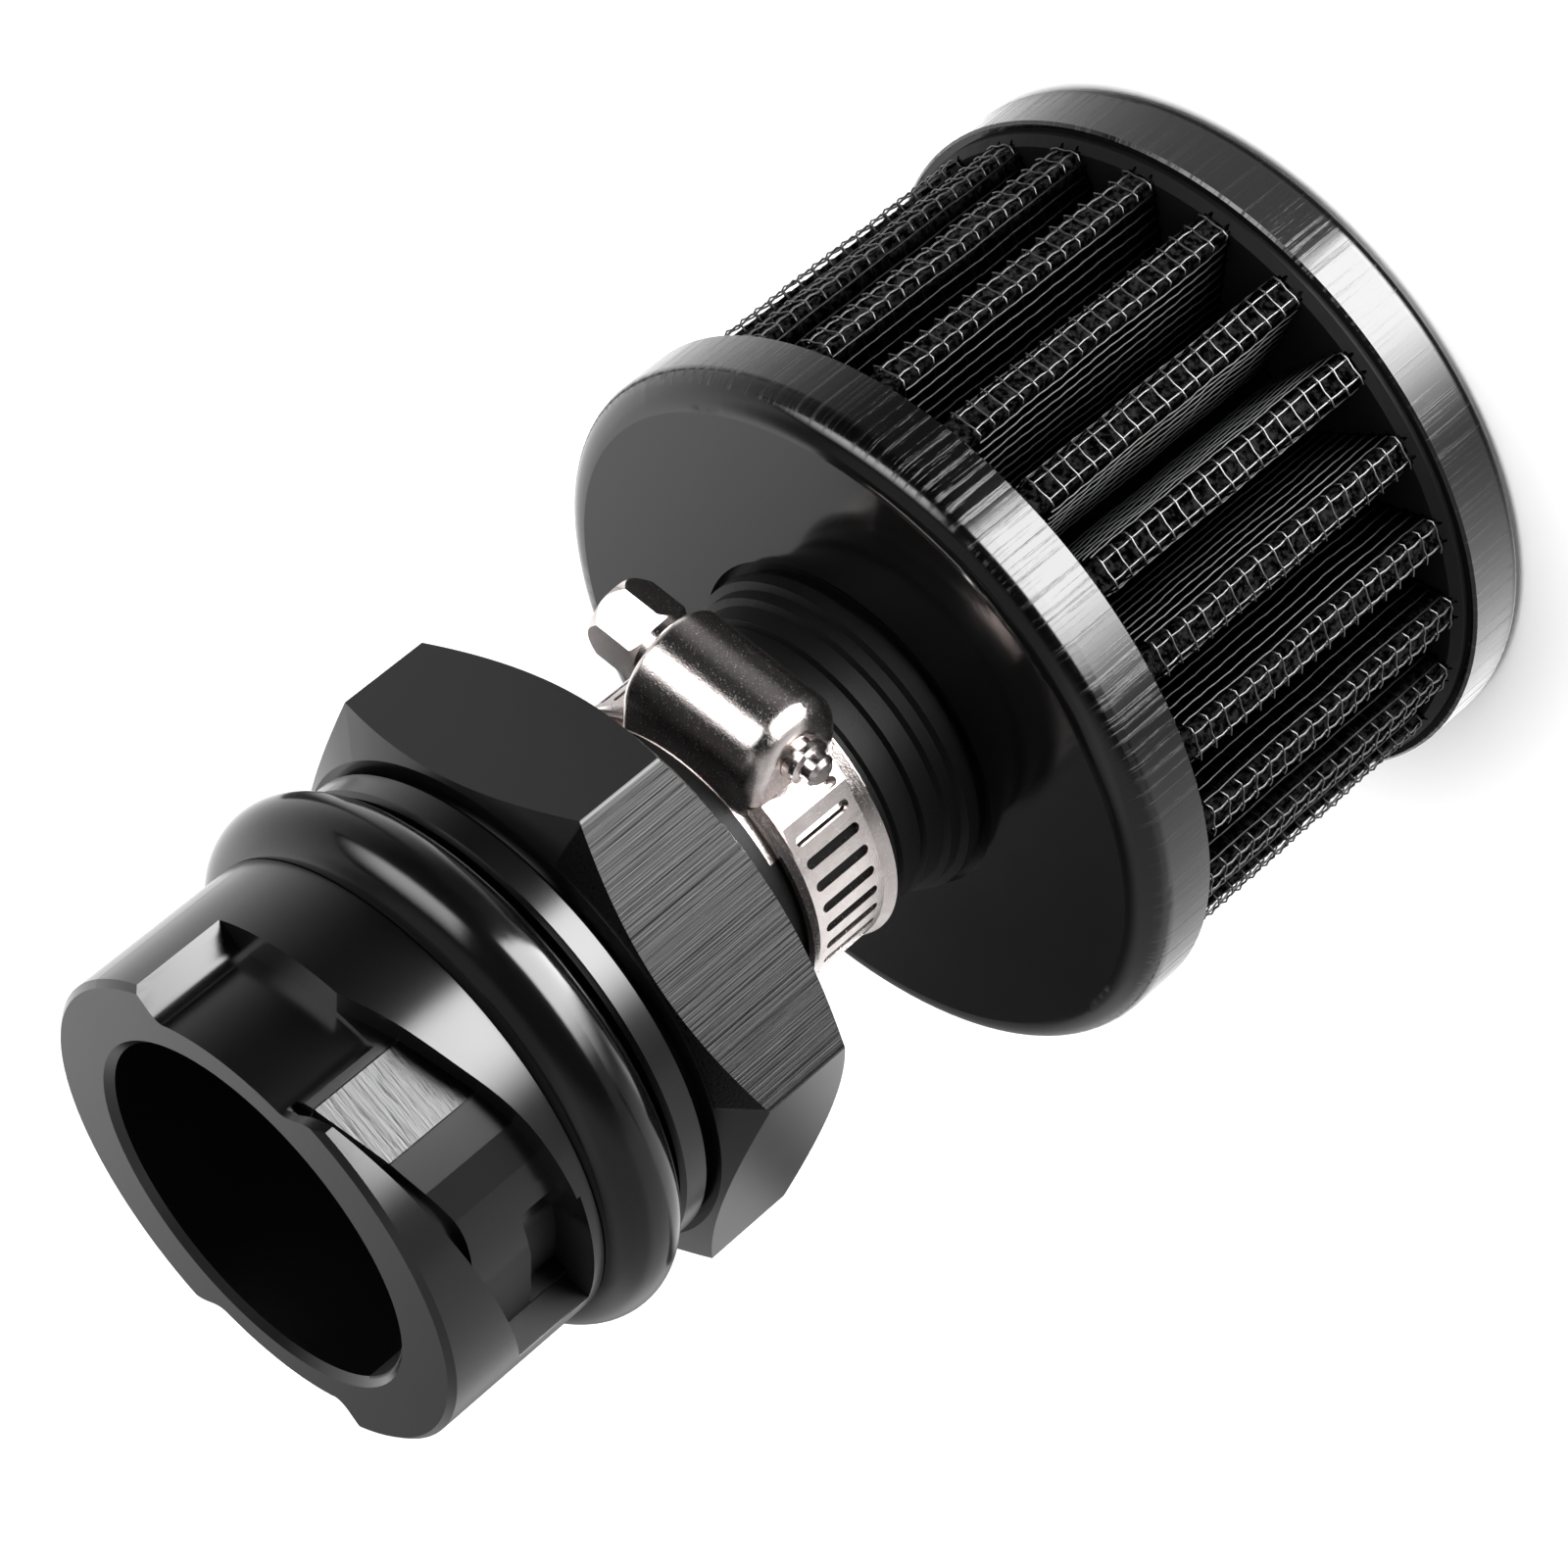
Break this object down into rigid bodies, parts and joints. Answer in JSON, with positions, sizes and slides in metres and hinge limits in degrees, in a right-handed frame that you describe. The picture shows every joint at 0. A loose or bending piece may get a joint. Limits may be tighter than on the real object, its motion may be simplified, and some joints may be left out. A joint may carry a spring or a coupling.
{
  "type": "crankcase breather filter",
  "caption": "Clamp-on crankcase breather filter with a pleated mesh-faced wall, rubber neck and hose clamp, on a black bayonet adapter with an O-ring and a hexagon.",
  "frame": {"origin": "centre of the flat outer face of the top cover, which is what the filter stands on", "axes": "+Z along the breather axis from the top cover to the open end of the spigot; +X through a corner of the hexagon"},
  "size_m": [0.0526, 0.0526, 0.0914],
  "materials": {
    "anodised_alloy": "black anodised, satin with brushed hexagon flats",
    "seal_rubber": "smooth black",
    "neck_rubber": "satin black, moulded",
    "potting_rubber": "satin black",
    "cover_lacquer": "gloss black with fine lengthwise brush marks on the rims",
    "gauze": "black oiled cotton gauze",
    "coated_wire": "grey-black coated wire",
    "bright_steel": "bright nickel-toned steel"
  },
  "bodies": {
    "root": {"adapter": "anodised_alloy", "o_ring": "seal_rubber", "neck_boot": "neck_rubber", "lower_cover": "cover_lacquer", "top_cover": "cover_lacquer", "top_potting": "potting_rubber", "filter_media": "gauze", "outer_mesh": "coated_wire", "inner_mesh": "coated_wire", "clamp_band": "bright_steel", "clamp_saddle": "bright_steel", "clamp_housing": "bright_steel", "clamp_screw": "bright_steel"}
  },
  "joints": []
}
